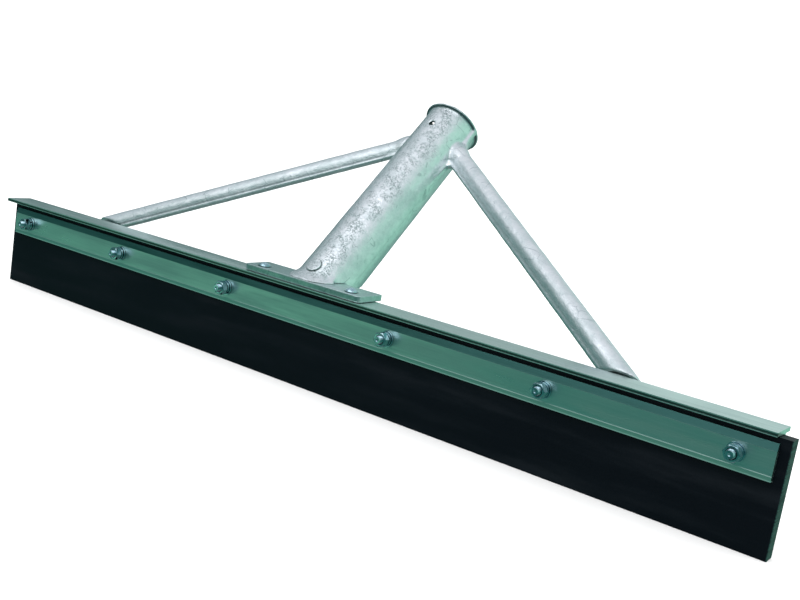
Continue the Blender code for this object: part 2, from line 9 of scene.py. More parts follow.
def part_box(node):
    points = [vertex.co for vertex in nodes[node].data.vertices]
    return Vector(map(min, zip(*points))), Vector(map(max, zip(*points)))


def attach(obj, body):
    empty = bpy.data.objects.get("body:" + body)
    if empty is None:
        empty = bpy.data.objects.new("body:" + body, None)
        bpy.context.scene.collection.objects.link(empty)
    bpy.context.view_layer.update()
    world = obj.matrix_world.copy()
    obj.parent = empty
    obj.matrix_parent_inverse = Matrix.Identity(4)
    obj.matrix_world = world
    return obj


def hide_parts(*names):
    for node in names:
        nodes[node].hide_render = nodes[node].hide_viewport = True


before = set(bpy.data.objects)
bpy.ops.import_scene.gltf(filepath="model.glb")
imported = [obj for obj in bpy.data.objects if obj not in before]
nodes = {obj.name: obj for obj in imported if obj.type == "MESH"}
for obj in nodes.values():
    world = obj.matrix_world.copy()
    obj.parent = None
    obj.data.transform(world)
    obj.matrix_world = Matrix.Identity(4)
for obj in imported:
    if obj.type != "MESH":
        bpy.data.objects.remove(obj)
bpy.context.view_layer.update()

# ---- Camera ---------------------------------------------------------------------------------------
# A hand-held view from the blade's right end, a little above the rail, with the camera tipped
# sideways so that the rail falls away to the right.
CAMERA_PLACE = (0.4213, -0.5132, 0.1873)
CAMERA_AZIMUTH = math.radians(34.70)
CAMERA_ELEVATION = math.radians(10.57)
CAMERA_ROLL = math.radians(9.16)
SENSOR_WIDTH = 36
LENS = 49.0

bpy.ops.object.camera_add()
camera = bpy.context.object
camera.data.sensor_width = SENSOR_WIDTH
camera.data.lens = LENS
camera.data.clip_start = 0.01
camera.matrix_world = (
    Matrix.Translation(CAMERA_PLACE)
    @ Matrix.Rotation(CAMERA_AZIMUTH, 4, "Z")
    @ Matrix.Rotation(math.pi / 2 - CAMERA_ELEVATION, 4, "X")
    @ Matrix.Rotation(CAMERA_ROLL, 4, "Z")
)
bpy.context.scene.camera = camera

# ---- Studio ---------------------------------------------------------------------------------------
# A wide pale floor that runs into a white room, with one large softbox in front and above and a
# weaker one behind. What the metal mirrors is cool green low down and paler above.
FLOOR_SIZE = 60
FLOOR_LEVEL = -0.0002  # just under the blade's edge
FLOOR_GREY = 0.92
WHITE_ROOM = 1.5
MIRRORED_ROOM = (  # colours that the metal mirrors, by height from straight down (0) to up (1)
    (0.06, (0.180, 0.250, 0.240)),
    (0.22, (0.085, 0.260, 0.200)),
    (0.33, (0.040, 0.175, 0.150)),
    (0.44, (0.028, 0.130, 0.118)),
    (0.57, (0.085, 0.200, 0.185)),
    (0.72, (0.340, 0.430, 0.450)),
    (0.93, (0.720, 0.760, 0.800)),
)
ROOM_CARDS = (  # coloured cards that the metal mirrors: direction, edge and middle, colour
    ((0.82, 0.45, 0.30), (0.66, 0.92), (0.460, 0.780, 0.650)),
    ((-0.15, 0.97, 0.18), (0.80, 0.97), (0.360, 0.470, 0.450)),
    ((-0.66, -0.725, -0.18), (0.975, 0.999), (0.280, 0.660, 0.460)),
    ((-0.82, 0.57, 0.10), (0.93, 0.99), (0.035, 0.110, 0.100)),
    ((0.45, 0.88, -0.12), (0.90, 0.985), (0.340, 0.700, 0.540)),
    ((-0.45, -0.84, 0.32), (0.82, 0.93), (0.030, 0.110, 0.095)),
)
SOFTBOXES = (  # name, place, width and height, watts, colour
    ("key", (-0.08, -1.0, 1.2), (1.7, 1.5), 8.4, (0.97, 0.98, 1.0)),
    ("back", (0.0, 1.9, 0.75), (1.2, 0.9), 1.1, (0.85, 1.0, 0.97)),
)
HEAD_MIDDLE = Vector((0, 0, 0.09))


def new_material(name, roughness, metallic):
    """A material with one shader, and its node tree."""
    material = bpy.data.materials.new(name)
    material.use_nodes = True
    shader = material.node_tree.nodes["Principled BSDF"]
    shader.inputs["Roughness"].default_value = roughness
    shader.inputs["Metallic"].default_value = metallic
    return material, material.node_tree, shader


def add_node(tree, kind, inputs=None, **settings):
    """A node of this kind; an input is a value, or the output socket that feeds it."""
    made = tree.nodes.new("ShaderNode" + kind)
    for name, value in settings.items():
        setattr(made, name, value)
    for name, value in (inputs or {}).items():
        if isinstance(value, bpy.types.NodeSocket):
            tree.links.new(value, made.inputs[name])
        else:
            made.inputs[name].default_value = value
    return made


def between(value, low, high, low_out=0.0, high_out=1.0):
    """A soft step of the value, from low_out below low to high_out above high."""
    limits = {"From Min": low, "From Max": high, "To Min": low_out, "To Max": high_out}
    step = add_node(value.id_data, "MapRange", limits, interpolation_type="SMOOTHSTEP")
    value.id_data.links.new(value, step.inputs["Value"])
    return step.outputs[0]


def blend(share, first, second):
    """The first colour, with this share of the second."""
    return add_node(share.id_data, "Mix", {0: share, 6: first, 7: second}, data_type="RGBA").outputs[2]


scene = bpy.context.scene
scene.view_settings.view_transform = "Standard"

bpy.ops.mesh.primitive_plane_add(size=FLOOR_SIZE, location=(0, 0, FLOOR_LEVEL))
floor = bpy.context.object
floor.name = "floor"
floor.visible_glossy = False
paint, _, shader = new_material("pale_floor", 1, 0)
shader.inputs["Base Color"].default_value = (FLOOR_GREY, FLOOR_GREY, FLOOR_GREY, 1)
shader.inputs["Specular IOR Level"].default_value = 0
floor.data.materials.append(paint)

world = bpy.data.worlds.new("room")
scene.world = world
world.use_nodes = True
world.cycles.sampling_method = "NONE"
tree = world.node_tree
direction_seen = add_node(tree, "TexCoord").outputs["Generated"]
height = add_node(tree, "SeparateXYZ", {0: direction_seen}).outputs["Z"]
height = add_node(tree, "MapRange", {"Value": height, "From Min": -1}).outputs[0]
ramp = add_node(tree, "ValToRGB", {0: height})
ramp.color_ramp.interpolation = "EASE"
stops = ramp.color_ramp.elements
while len(stops) < len(MIRRORED_ROOM):
    stops.new(0.5)
for stop, (place, colour) in zip(stops, MIRRORED_ROOM):
    stop.position = place
    stop.color = (*colour, 1)
mirrored_room = ramp.outputs[0]
for direction, (edge, middle), colour in ROOM_CARDS:
    towards = {0: direction_seen, 1: Vector(direction).normalized()}
    facing = add_node(tree, "VectorMath", towards, operation="DOT_PRODUCT").outputs["Value"]
    mirrored_room = blend(between(facing, edge, middle), mirrored_room, (*colour, 1))
glossy = add_node(tree, "LightPath").outputs["Is Glossy Ray"]
room = blend(glossy, (WHITE_ROOM, WHITE_ROOM, WHITE_ROOM, 1), mirrored_room)
tree.links.new(room, tree.nodes["Background"].inputs["Color"])

for name, place, size, watts, colour in SOFTBOXES:
    bpy.ops.object.light_add(type="AREA", location=place)
    lamp = bpy.context.object
    lamp.name = name
    lamp.rotation_euler = (HEAD_MIDDLE - Vector(place)).to_track_quat("-Z", "Y").to_euler()
    lamp.data.shape = "RECTANGLE"
    lamp.data.size, lamp.data.size_y = size
    lamp.data.energy = watts
    lamp.data.color = colour

# ---- Rubber blade ---------------------------------------------------------------------------------
# A thick strip of hard black rubber, cut from sheet: smooth faces, sawn ends, edges just broken.
# It is clamped between the strip and the rail's web, and hangs 38 mm below them.
FACE_GAP = 0.0003
RUBBER_EDGE = 0.0005
SAWN_AND_LIT_START = 0.0006  # the saw marks and the end face's painted lighter teal light begin this far from the end
SAWN_AND_LIT_FULL = 0.0002
BOLT_HOLE = 0.0029
DRILL_REACH = 0.03
BOLT_LEVEL = (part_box("clamp_strip")[0].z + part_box("clamp_strip")[1].z) / 2
NUT_BOXES = [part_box(f"clamp_nut_{number}") for number in range(1, 7)]
BOLT_PLACES = [(low.x + high.x) / 2 for low, high in NUT_BOXES]
CREASE = math.radians(12)


def alone(piece):
    """Makes this piece the only selected one, and the active one."""
    bpy.ops.object.select_all(action="DESELECT")
    piece.select_set(True)
    bpy.context.view_layer.objects.active = piece
    return piece


def modify(piece, kind, **settings):
    """Adds one modifier to the piece and applies it."""
    alone(piece)
    change = piece.modifiers.new(kind.lower(), kind)
    for name, value in settings.items():
        setattr(change, name, value)
    bpy.ops.object.modifier_apply(modifier=change.name)
    return piece


def carve(piece, tool, operation="DIFFERENCE"):
    """Cuts a closed tool out of a closed piece, or joins it on, and removes the tool."""
    modify(piece, "BOOLEAN", object=tool, operation=operation, solver="MANIFOLD")
    bpy.data.objects.remove(tool, do_unlink=True)
    return piece


def settle(piece, matrix=None):
    """Puts the piece's place into its mesh, first moving it by the matrix."""
    if matrix is not None:
        piece.matrix_world = matrix @ piece.matrix_world
    alone(piece)
    bpy.ops.object.transform_apply(location=True, rotation=True, scale=True)
    return piece


def box(low, high):
    """A closed block between two corners."""
    low, high = Vector(low), Vector(high)
    bpy.ops.mesh.primitive_cube_add(size=1, location=(low + high) / 2, scale=high - low)
    return settle(bpy.context.object)


def rod(radius, start, end, sides=32, top_radius=None):
    """A round bar along Z, which tapers to the top radius if one is given."""
    bpy.ops.mesh.primitive_cone_add(
        vertices=sides,
        radius1=radius,
        radius2=radius if top_radius is None else top_radius,
        depth=end - start,
        location=(0, 0, (start + end) / 2),
    )
    return settle(bpy.context.object)


def facing_front(x, y, z):
    """Puts a piece made along Z at this place, with its top towards the front."""
    return Matrix.Translation((x, y, z)) @ Matrix.Rotation(math.pi / 2, 4, "X")


def drill_bolts(piece):
    """The six holes that the clamp bolts pass through."""
    for x in BOLT_PLACES:
        carve(piece, settle(rod(BOLT_HOLE, -DRILL_REACH, DRILL_REACH), facing_front(x, 0, BOLT_LEVEL)))


def shade(piece, angle):
    """Smooth shading, except across edges that turn by more than the angle."""
    alone(piece)
    bpy.ops.object.shade_smooth_by_angle(angle=angle)


def ease(piece, width, steps=2, angle=30):
    """Rounds every edge that turns by more than the angle, in degrees."""
    modify(
        piece,
        "BEVEL",
        width=width,
        segments=steps,
        limit_method="ANGLE",
        angle_limit=math.radians(angle),
        harden_normals=False,
        use_clamp_overlap=True,
    )
    shade(piece, CREASE)
    return piece


def hand_over(piece, name, material, replaced):
    """Names a finished piece, gives it its finish, and puts it in for the plain node."""
    piece.name = name
    piece.data.name = name
    piece.data.materials.clear()
    piece.data.materials.append(material)
    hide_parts(replaced)
    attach(piece, "root")


def object_place(tree):
    """The place on the piece, in its own coordinates."""
    return add_node(tree, "TexCoord").outputs["Object"]


def stretched(place, scale):
    """This place scaled along each axis, so that a pattern on it is drawn out."""
    return add_node(place.id_data, "Mapping", {"Vector": place, "Scale": scale}).outputs[0]


def noise(place, scale, detail=3, roughness=0.6):
    """Soft uneven noise on this place, from 0 to 1."""
    inputs = {"Vector": place, "Scale": scale, "Detail": detail, "Roughness": roughness}
    return add_node(place.id_data, "TexNoise", inputs).outputs["Fac"]


def maths(operation, first, second=0.0):
    """One sum, of an output and another output or a number."""
    return add_node(first.id_data, "Math", {0: first, 1: second}, operation=operation).outputs[0]


def times(first, second):
    """The product of the two."""
    return maths("MULTIPLY", first, second)


def plus(first, second):
    """The sum of the two."""
    return maths("ADD", first, second)


def less(first, second):
    """The first less the second."""
    return maths("SUBTRACT", first, second)


def bump(shader, height, distance):
    """Feeds a height into the shader's normal."""
    tree = shader.id_data
    made = add_node(tree, "Bump", {"Height": height, "Distance": distance, "Strength": 1.0})
    tree.links.new(made.outputs[0], shader.inputs["Normal"])


black_rubber, tree, shader = new_material("black_rubber", 0.5, 0)
shader.inputs["Specular IOR Level"].default_value = 0.14
place = object_place(tree)
dust = between(noise(stretched(place, (9, 30, 90)), 1.0, 5), 0.45, 0.75)
face = blend(dust, (0.0010, 0.0020, 0.0048, 1), (0.0030, 0.0058, 0.0095, 1))
saw_marks = noise(stretched(place, (1, 60, 1400)), 1.0)
marked = between(saw_marks, 0.35, 0.7)
# End faces: the saw marks are the rubber's own; the lighter teal colour is painted light, the lit look
# of the end face.
sawn_and_lit_end = blend(marked, (0.004, 0.016, 0.015, 1), (0.012, 0.055, 0.045, 1))
low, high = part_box("rubber_blade")
from_middle = maths("ABSOLUTE", add_node(tree, "SeparateXYZ", {0: place}).outputs[0])
at_end = between(from_middle, high.x - SAWN_AND_LIT_START, high.x - SAWN_AND_LIT_FULL)
tree.links.new(blend(at_end, face, sawn_and_lit_end), shader.inputs["Base Color"])
tree.links.new(between(dust, 0, 1, 0.42, 0.62), shader.inputs["Roughness"])
grain = times(noise(place, 2600, 2), 0.5)
bump(shader, plus(grain, times(at_end, saw_marks)), 0.00012)

blade = box(low, high)
drill_bolts(blade)
ease(blade, RUBBER_EDGE, 3)
hand_over(blade, "squeegee_rubber", black_rubber, "rubber_blade")

# ---- Clamp strip ----------------------------------------------------------------------------------
# A flat aluminium extrusion that the bolts draw against the rubber. Its face falls away in a sloped
# band along the top and a narrower one along the bottom, where a fine bead marks the change.
STRIP_TOP_BAND = 0.0038
STRIP_TOP_SLOPE = 0.0011
STRIP_LOW_BAND = 0.0026
STRIP_LOW_SLOPE = 0.0005
STRIP_BEAD = 0.0004
STRIP_BEAD_PROUD = 0.00012
METAL_EDGE = 0.00022


def cut_line(piece, level, axis):
    """Cuts an edge line right round the piece, square to the axis, at this level."""
    alone(piece)
    bpy.ops.object.mode_set(mode="EDIT")
    bpy.ops.mesh.select_all(action="SELECT")
    normal = [0, 0, 0]
    normal[axis] = 1
    centre = [0, 0, 0]
    centre[axis] = level
    bpy.ops.mesh.bisect(plane_co=centre, plane_no=normal)
    bpy.ops.object.mode_set(mode="OBJECT")


def pick(piece, test, kind="VERT"):
    """Selects the vertices, edges or faces that pass the test, and goes into edit mode."""
    alone(piece)
    bpy.ops.object.mode_set(mode="EDIT")
    bpy.ops.mesh.select_mode(type=kind)
    bpy.ops.mesh.select_all(action="DESELECT")
    bpy.ops.object.mode_set(mode="OBJECT")
    mesh = piece.data
    if kind == "VERT":
        for vertex in mesh.vertices:
            vertex.select = test(vertex.co)
    elif kind == "EDGE":
        for edge in mesh.edges:
            edge.select = test(*(mesh.vertices[end].co for end in edge.vertices))
    else:
        for face in mesh.polygons:
            face.select = test(face.center, face.normal)
    bpy.ops.object.mode_set(mode="EDIT")


def shift(piece, test, move):
    """Moves the vertices that pass the test."""
    pick(piece, test)
    bpy.ops.transform.translate(value=move)
    bpy.ops.object.mode_set(mode="OBJECT")


def new_group(name, inputs, outputs):
    """A node group with these named inputs and outputs."""
    group = bpy.data.node_groups.new(name, "ShaderNodeTree")
    for direction, sockets in (("INPUT", inputs), ("OUTPUT", outputs)):
        for label, kind in sockets.items():
            group.interface.new_socket(label, in_out=direction, socket_type="NodeSocket" + kind)
    entry = group.nodes.new("NodeGroupInput")
    leave = group.nodes.new("NodeGroupOutput")
    return group, entry.outputs, leave.inputs


def coated(name, group, values, depth):
    """A metal whose colour, roughness and relief come from a group with these values."""
    material, tree, shader = new_material(name, 0.4, 1)
    skin = add_node(tree, "Group", node_tree=group)
    tree.links.new(object_place(tree), skin.inputs["Place"])
    for label, value in values.items():
        skin.inputs[label].default_value = value
    tree.links.new(skin.outputs["Colour"], shader.inputs["Base Color"])
    tree.links.new(skin.outputs["Roughness"], shader.inputs["Roughness"])
    bump(shader, skin.outputs["Height"], depth)
    return material, tree, shader, skin


def repaint(shader, share, colour):
    """Lays this colour over the shader's own, by the share."""
    base = shader.inputs["Base Color"]
    shader.id_data.links.new(blend(share, base.links[0].from_socket, colour), base)


def roughen(shader, extra):
    """Adds this to the shader's own roughness."""
    rough = shader.inputs["Roughness"]
    shader.id_data.links.new(plus(rough.links[0].from_socket, extra), rough)


drawn_metal, given, result = new_group(
    "drawn_metal",
    {"Place": "Vector", "Light": "Color", "Dark": "Color", "Rough": "Float"},
    {"Colour": "Color", "Roughness": "Float", "Height": "Float"},
)
die_lines = noise(stretched(given["Place"], (2.5, 900, 900)), 1.0, 5, 0.7)
smudges = noise(stretched(given["Place"], (14, 120, 120)), 1.0, 4)
specks = between(noise(given["Place"], 420, 2), 0.66, 0.74)
tone = plus(between(die_lines, 0.3, 0.7, 0, 0.4), between(smudges, 0.35, 0.7, 0, 0.6))
worn = blend(tone, given["Light"], given["Dark"])
speckled = blend(times(specks, 0.5), worn, given["Dark"])
drawn_metal.links.new(speckled, result["Colour"])
rougher = between(smudges, 0.3, 0.7, -0.05, 0.09)
drawn_metal.links.new(plus(rougher, given["Rough"]), result["Roughness"])
drawn_metal.links.new(less(die_lines, times(specks, 0.3)), result["Height"])


def drawn_aluminium(name, light, dark, rough):
    """A dull extruded aluminium."""
    values = {"Light": light, "Dark": dark, "Rough": rough}
    return coated(name, drawn_metal, values, 0.00003)


low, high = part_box("clamp_strip")
strip_aluminium, tree, shader, _ = drawn_aluminium(
    "strip_aluminium", (0.72, 0.84, 0.82, 1), (0.54, 0.68, 0.66, 1), 0.32
)
level = add_node(tree, "SeparateXYZ", {0: object_place(tree)}).outputs[2]
bead_low = low.z + STRIP_LOW_BAND
bead_high = bead_low + STRIP_BEAD
shaded_top_band = between(level, high.z - 1.05 * STRIP_TOP_BAND, high.z - 0.95 * STRIP_TOP_BAND)
lit_low_band = between(level, low.z + 1.1 * STRIP_LOW_BAND, low.z + STRIP_LOW_BAND)
# Painted shade: the sloped top band is darkened as if the rail's flange shaded it.
repaint(shader, times(shaded_top_band, 0.9), (0.05, 0.21, 0.20, 1))
# Painted reflection: the lower band, which faces down, is lightened as if it mirrored the pale floor.
repaint(shader, times(lit_low_band, 0.5), (0.44, 0.60, 0.56, 1))
# Painted highlights: thin bright lines along the bead and along the strip's lower edge, which are also
# made a little rougher.
on_bead = times(
    between(level, bead_low - STRIP_BEAD / 4, bead_low),
    between(level, bead_high + STRIP_BEAD / 4, bead_high),
)
at_foot = between(level, low.z + 2 * STRIP_BEAD, low.z + 1.5 * STRIP_BEAD)
painted_highlight_lines = maths("MAXIMUM", times(on_bead, 0.45), at_foot)
repaint(shader, painted_highlight_lines, (0.84, 1.0, 0.96, 1))
roughen(shader, times(painted_highlight_lines, 0.25))

strip = box(low, high)
for line in (high.z - STRIP_TOP_BAND, bead_low, bead_high):
    cut_line(strip, line, 2)
front_line = low.y + METAL_EDGE / 2
shift(strip, lambda v: v.y < front_line and v.z > high.z - METAL_EDGE, (0, STRIP_TOP_SLOPE, 0))
shift(strip, lambda v: v.y < front_line and v.z < low.z + METAL_EDGE, (0, STRIP_LOW_SLOPE, 0))
shift(
    strip,
    lambda v: v.y < front_line and bead_low - METAL_EDGE < v.z < bead_low + STRIP_BEAD / 2,
    (0, -STRIP_BEAD_PROUD, 0),
)
drill_bolts(strip)
ease(strip, METAL_EDGE)
hand_over(strip, "strip", strip_aluminium, "clamp_strip")

# ---- Rail -----------------------------------------------------------------------------------------
# An aluminium extrusion with a flat top and a web below it, behind the rubber. A shallow groove runs
# along its front edge. The ends are sawn, and the top is scuffed by handling.
WEB_FRONT = 0.0043
WEB_BACK = 0.0066
GROOVE_DEPTH = 0.0004
GROOVE_LOW = 0.00045
GROOVE_HIGH = 0.0006
GROOVE_LIP = 0.00005

low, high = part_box("rail")
rail_aluminium, tree, shader, _ = drawn_aluminium(
    "rail_aluminium", (0.75, 0.84, 0.83, 1), (0.57, 0.68, 0.66, 1), 0.36
)
from_front, level = add_node(tree, "SeparateXYZ", {0: object_place(tree)}).outputs[1:3]
shaded_groove = times(
    between(from_front, low.y + GROOVE_DEPTH / 4, low.y + GROOVE_DEPTH / 2),
    between(from_front, low.y + 4 * GROOVE_DEPTH, low.y + 2 * GROOVE_DEPTH),
)
below_top = between(level, high.z - GROOVE_HIGH / 2, high.z - GROOVE_HIGH)
# Painted shade in the groove along the rail's front edge.
repaint(shader, times(shaded_groove, below_top), (0.10, 0.15, 0.14, 1))

flange_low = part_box("rubber_blade")[1].z + FACE_GAP
rail = box((low.x, low.y, flange_low), high)
for line in (WEB_FRONT, WEB_BACK):
    cut_line(rail, line, 1)
pick(rail, lambda c, n: n.z < -0.9 and WEB_FRONT < c.y < WEB_BACK, "FACE")
bpy.ops.mesh.extrude_region_move(TRANSFORM_OT_translate={"value": (0, 0, low.z - flange_low)})
bpy.ops.object.mode_set(mode="OBJECT")
groove_low, groove_high = flange_low + GROOVE_LOW, high.z - GROOVE_HIGH
for line in (groove_low, groove_high):
    cut_line(rail, line, 2)
pick(rail, lambda c, n: n.y < -0.9 and c.y < low.y / 2 and groove_low < c.z < groove_high, "FACE")
bpy.ops.mesh.inset(thickness=GROOVE_LIP, depth=0)
bpy.ops.transform.translate(value=(0, GROOVE_DEPTH, 0))
bpy.ops.object.mode_set(mode="OBJECT")
drill_bolts(rail)
ease(rail, METAL_EDGE)
hand_over(rail, "top_rail", rail_aluminium, "rail")

# ---- Foot plate -----------------------------------------------------------------------------------
# A short galvanised steel bar, sheared to length, riveted on top of the rail. Its spigot is curved
# to fit inside the socket's front wall and is welded to the bar.
SOCKET_LEAN = math.radians(43.4)
SOCKET_FOOT = Vector((-0.007, 0.0251, 0.0669))
IN_PLACE = Matrix.Translation(SOCKET_FOOT) @ Matrix.Rotation(SOCKET_LEAN, 4, "X")
FOOT_RADIUS = 0.0191
MOUTH_RADIUS = 0.0187
SOCKET_LENGTH = 0.1517
SHEET = 0.002
PLATE_THICK = 0.004
PLATE_BACK = 0.0172
PLATE_CORNER = 0.0035
PLATE_EDGE = 0.0006
RIVET_HEAD = 0.0041
RIVET_SHADE_RING = 0.0050  # how far from a rivet's middle the painted shade round its head reaches
SPIGOT_THICK = 0.002
SPIGOT_REACH = 0.026
SPIGOT_HALF_ANGLE = math.radians(42)
PLATE_HOLE = 0.0024
PLATE_DRILL = 0.01
RIVET_HOLE = 0.0029
RIVET_DRILL = 0.04
RIVET_HEIGHT = -FOOT_RADIUS / math.tan(SOCKET_LEAN) + 0.0122  # from the socket's foot, along it
FAR = 1.0

weathered_zinc, given, result = new_group(
    "weathered_zinc",
    {"Place": "Vector", "Bright": "Color", "Dull": "Color", "Pit": "Color", "Crust": "Float"},
    {"Colour": "Color", "Roughness": "Float", "Height": "Float"},
)
place = given["Place"]
clouds = between(noise(place, 70, 4), 0.34, 0.66)
mottle = between(noise(place, 330, 3, 0.7), 0.36, 0.62)
tone = plus(times(clouds, 0.65), times(mottle, 0.35))
clean = blend(tone, given["Dull"], given["Bright"])
grit = noise(place, 950, 4, 0.75)
patches = between(noise(place, 190), 0.36, 0.56)
crust = times(patches, given["Crust"])
rising = between(grit, 0.50, 0.55)
falling = between(grit, 0.565, 0.61)
rims = times(less(rising, falling), crust)
knobs = times(falling, crust)
pitted = blend(times(rims, 0.55), clean, given["Pit"])
capped = blend(times(knobs, 0.4), pitted, (0.97, 0.98, 1.0, 1))
cells = {"Vector": place, "Scale": 75.0, "Randomness": 1.0}
cell_edges = add_node(weathered_zinc, "TexVoronoi", cells, feature="DISTANCE_TO_EDGE")
hair_lines = times(
    between(cell_edges.outputs["Distance"], 0.028, 0.008),
    between(noise(place, 95, 2), 0.54, 0.60),
)
scratched = blend(times(hair_lines, 0.35), capped, given["Pit"])
weathered_zinc.links.new(scratched, result["Colour"])
rough = plus(between(tone, 0, 1, 0.42, 0.33), times(rims, 0.15))
weathered_zinc.links.new(rough, result["Roughness"])
relief = less(plus(times(mottle, 0.45), times(clouds, 0.5)), times(rims, 0.55))
weathered_zinc.links.new(plus(relief, times(knobs, 0.4)), result["Height"])


def galvanised(name, bright, dull, crust, depth):
    """Hot-dip galvanised steel; the crust says how thickly pits gather."""
    values = {"Bright": bright, "Dull": dull, "Pit": (0.22, 0.29, 0.31, 1), "Crust": crust}
    return coated(name, weathered_zinc, values, depth)


def distance_from(place, point, keep):
    """How far this place is from the point, counting only the axes that are kept."""
    tree = place.id_data
    kept = add_node(tree, "VectorMath", {0: place, 1: keep}, operation="MULTIPLY").outputs[0]
    return add_node(tree, "VectorMath", {0: kept, 1: point}, operation="DISTANCE").outputs["Value"]


def tapered(start, end, offset=0.0, sides=64):
    """A length of the socket's round taper along its axis, grown by the offset."""
    slope = (MOUTH_RADIUS - FOOT_RADIUS) / SOCKET_LENGTH
    first, last = (FOOT_RADIUS + slope * at + offset for at in (start, end))
    return settle(rod(first, start, end, sides, last), Matrix.Rotation(-math.pi / 2, 4, "X"))


def world_box(low, high):
    """A cutting block given in world axes, turned into the frame's own plane."""
    return settle(box(low, high), IN_PLACE.inverted())


plate_zinc, tree, shader, _ = galvanised(
    "plate_zinc", (0.66, 0.78, 0.77, 1), (0.44, 0.56, 0.56, 1), 0.25, 0.00008
)
place = object_place(tree)
low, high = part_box("foot_plate")
plate_top = low.z + PLATE_THICK
plate = box(low, (high.x, PLATE_BACK, plate_top))
pick(plate, lambda a, b: abs(a.z - b.z) > PLATE_THICK / 2 and a.y < 0, "EDGE")
bpy.ops.mesh.bevel(offset=PLATE_CORNER, segments=3)
bpy.ops.object.mode_set(mode="OBJECT")
ease(plate, PLATE_EDGE, 3)
under = -FOOT_RADIUS / math.tan(SOCKET_LEAN) - SHEET
outer = -SHEET - FACE_GAP
side_cut = FOOT_RADIUS * math.cos(SPIGOT_HALF_ANGLE)
spigot = tapered(under, SPIGOT_REACH, outer)
carve(spigot, tapered(2 * under, 2 * SPIGOT_REACH, outer - SPIGOT_THICK))
carve(spigot, box((-FAR, -FAR, -FAR), (FAR, FAR, side_cut)))
carve(spigot, world_box((-FAR, -FAR, -FAR), (FAR, FAR, plate_top - PLATE_THICK / 2)))
carve(plate, settle(spigot, IN_PLACE), "UNION")
for side in ("left", "right"):
    a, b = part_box(f"foot_rivet_{side}")
    x, y = (a.x + b.x) / 2, (a.y + b.y) / 2
    drill = rod(PLATE_HOLE, -PLATE_DRILL, PLATE_DRILL)
    carve(plate, settle(drill, Matrix.Translation((x, y, plate_top))))
    away = distance_from(place, (x, y, 0), (1, 1, 0))
    # Painted shade: a dark ring on the plate round each rivet head.
    repaint(shader, times(between(away, RIVET_SHADE_RING, RIVET_HEAD), 0.85), (0.05, 0.09, 0.09, 1))
drill = settle(rod(RIVET_HOLE, 0, RIVET_DRILL), Matrix.Translation((0, RIVET_HEIGHT, 0)))
carve(plate, settle(drill, IN_PLACE))
shade(plate, math.radians(20))
hand_over(plate, "riveted_foot_plate", plate_zinc, "foot_plate")

# ---- Handle frame ---------------------------------------------------------------------------------
# Two steel pressings, front and back, that meet in one flat plane. Together they form the tapered
# tube socket and both hollow braces, with a turned lip round the mouth and a flat edge along the
# seam. They are seam welded and hot-dip galvanised, so every edge is rounded and runs into the next.
LIP_WIDTH = 0.0026
LIP_THICK = 0.0019
LIP_FILLET = 0.0012
LIP_FADE = 0.060  # the flat edge beside the socket ends this far up it
SCREW_HOLE = 0.002
SCREW_DOWN = 0.0187  # from the mouth to the hole for the handle's screw
UNDER = 0.045  # how far the socket's tube is drawn below its foot before it is trimmed
BRACE_FOOT = Vector((0.2033, -0.00626, 0))
BRACE_JOIN = Vector((0.0148, 0.1283, 0))
BRACE_WIDTH = 0.0152
CROWN_WIDTH = 0.0134
CROWN_HEIGHT = 0.0055
CROWN_SHIFT = 0.0008  # the crown sits nearer the brace's upper edge
BRACE_END = -0.0095
ROOT_SIZE = (0.015, 0.0078, 0.0066)  # the braces swell where they leave the socket
ROOT_SHIFT = Vector((0.006, -0.003, 0))
SHOULDER_ROUND = 0.008
CROTCH_ROUND = 0.0055
SKIRT_HALF_ANGLE = math.radians(50)
SKIRT_STEPS = (  # how far the zinc stands out round the socket's foot, and up to what height
    (0.0034, 0.0007),
    (0.0024, 0.0014),
    (0.0015, 0.0023),
    (0.0007, 0.0034),
)
SEAM_GAP = 0.0001
GRAIN = 0.00072  # the smallest step in the skin
TUBE_SIDES = 192
RUN_SIZE = 0.011  # the zinc's slow waves
RUN_HEIGHT = 0.0003
BRACE_SHADE_LINE = 0.0056  # painted shade lies in the angle between the crown and the lower edge
BRACE_SHADE_WIDTH = 0.0009
HEAD_RING = 0.0058  # how far from its middle the painted shade round the flat rivet reaches
HEAD_RIM = 0.0050

brace_run = (BRACE_FOOT - BRACE_JOIN).normalized()
brace_up = Vector((-brace_run.y, brace_run.x, 0))


def merge(pieces, name):
    """Joins pieces into one object of this name."""
    alone(pieces[0])
    for piece in pieces:
        piece.select_set(True)
    bpy.ops.object.join()
    pieces[0].name = name
    return pieces[0]


def lipped_socket():
    """The socket's outside, with its end drawn out into the lip round the mouth."""
    height = SOCKET_LENGTH - LIP_THICK - LIP_FILLET
    radius = MOUTH_RADIUS
    tube = tapered(-UNDER, height, 0, TUBE_SIDES)
    pick(tube, lambda c, n: n.y > 0.99, "FACE")
    path = []
    for turn in (math.pi / 8, math.pi / 4, math.pi * 3 / 8, math.pi / 2):
        wider = MOUTH_RADIUS + LIP_FILLET * (1 - math.cos(turn))
        path.append((wider, height + LIP_FILLET * math.sin(turn)))
    path.append((MOUTH_RADIUS + LIP_WIDTH, height + LIP_FILLET))
    path.append((MOUTH_RADIUS + LIP_WIDTH, SOCKET_LENGTH))
    for wider, higher in path:
        rise = (0, higher - height, 0)
        bpy.ops.mesh.extrude_region_move(TRANSFORM_OT_translate={"value": rise})
        share = wider / radius
        bpy.ops.transform.resize(value=(share, 1, share), center_override=(0, higher, 0))
        radius, height = wider, higher
    bpy.ops.object.mode_set(mode="OBJECT")
    return tube


